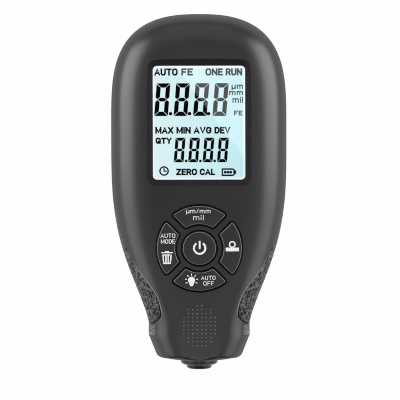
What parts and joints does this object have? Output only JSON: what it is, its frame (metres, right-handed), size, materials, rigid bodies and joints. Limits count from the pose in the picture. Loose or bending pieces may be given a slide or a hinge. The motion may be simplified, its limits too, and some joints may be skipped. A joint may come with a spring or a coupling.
{
  "type": "coating thickness gauge",
  "caption": "Pocket coating thickness gauge: pear-shaped housing with rolled edges, lit display, round keypad, side grips, hinged battery door and a sprung probe under its foot.",
  "frame": {"origin": "under the middle of the bounding box, on the table the gauge lies on", "axes": "+X to the right, +Y towards the head, +Z out of the display"},
  "size_m": [0.057, 0.1152, 0.0267],
  "materials": {
    "housing": "satin black ABS",
    "grip": "grained soft inlay",
    "lens": "clear acrylic",
    "adhesive": "black tape",
    "display": "lit liquid crystal",
    "diffuser": "white diffuser",
    "rubber_parts": "grey silicone",
    "board": "green solder mask",
    "chips": "black moulding",
    "keys": "black silicone caps",
    "collar": "black acetal",
    "sensor": "dark sleeve",
    "steel": "plain",
    "lead": "insulated wire",
    "cells": "plain sleeve",
    "contacts": "nickel plate"
  },
  "bodies": {
    "housing": {"front_shell": "housing", "rear_shell": "housing", "left_grip": "grip", "right_grip": "grip", "window_lens": "lens", "lens_gasket": "adhesive", "lcd_glass": "display", "lcd_backlight": "diffuser", "lcd_holder": "diffuser", "zebra_strip": "rubber_parts", "main_board": "board", "board_chips": "chips", "buzzer": "chips", "dome_mat": "rubber_parts", "probe_barrel": "collar", "probe_spring": "steel", "probe_cap": "chips", "probe_lead": "lead", "battery_a": "cells", "battery_b": "cells", "link_contact": "contacts", "positive_contact": "contacts", "negative_contact": "contacts", "battery_springs": "contacts", "case_screws": "steel", "board_screws": "steel"},
    "power": {"power_key": "keys"},
    "units": {"units_key": "keys"},
    "mode": {"mode_key": "keys"},
    "zero": {"zero_key": "keys"},
    "light": {"light_key": "keys"},
    "probe": {"probe_sensor": "sensor", "probe_pole": "steel"},
    "door": {"battery_door": "housing"}
  },
  "joints": [
    {"name": "power_press", "type": "slide", "parent": "housing", "child": "power", "axis": [0, 0, -1], "range_m": [0, 0.0008], "stiffness_N_per_m": 600, "deforming": ["dome_mat"]},
    {"name": "units_press", "type": "slide", "parent": "housing", "child": "units", "axis": [0, 0, -1], "range_m": [0, 0.0008], "stiffness_N_per_m": 600, "deforming": ["dome_mat"]},
    {"name": "mode_press", "type": "slide", "parent": "housing", "child": "mode", "axis": [0, 0, -1], "range_m": [0, 0.0008], "stiffness_N_per_m": 600, "deforming": ["dome_mat"]},
    {"name": "zero_press", "type": "slide", "parent": "housing", "child": "zero", "axis": [0, 0, -1], "range_m": [0, 0.0008], "stiffness_N_per_m": 600, "deforming": ["dome_mat"]},
    {"name": "light_press", "type": "slide", "parent": "housing", "child": "light", "axis": [0, 0, -1], "range_m": [0, 0.0008], "stiffness_N_per_m": 600, "deforming": ["dome_mat"]},
    {"name": "probe_slide", "type": "slide", "parent": "housing", "child": "probe", "axis": [0, 1, 0], "range_m": [0, 0.001], "stiffness_N_per_m": 800, "deforming": ["probe_spring"]},
    {"name": "door_hinge", "type": "hinge", "parent": "housing", "child": "door", "pos_m": [0, 0.04, 0.001], "axis": [1, 0, 0], "range_deg": [0, 90]}
  ]
}
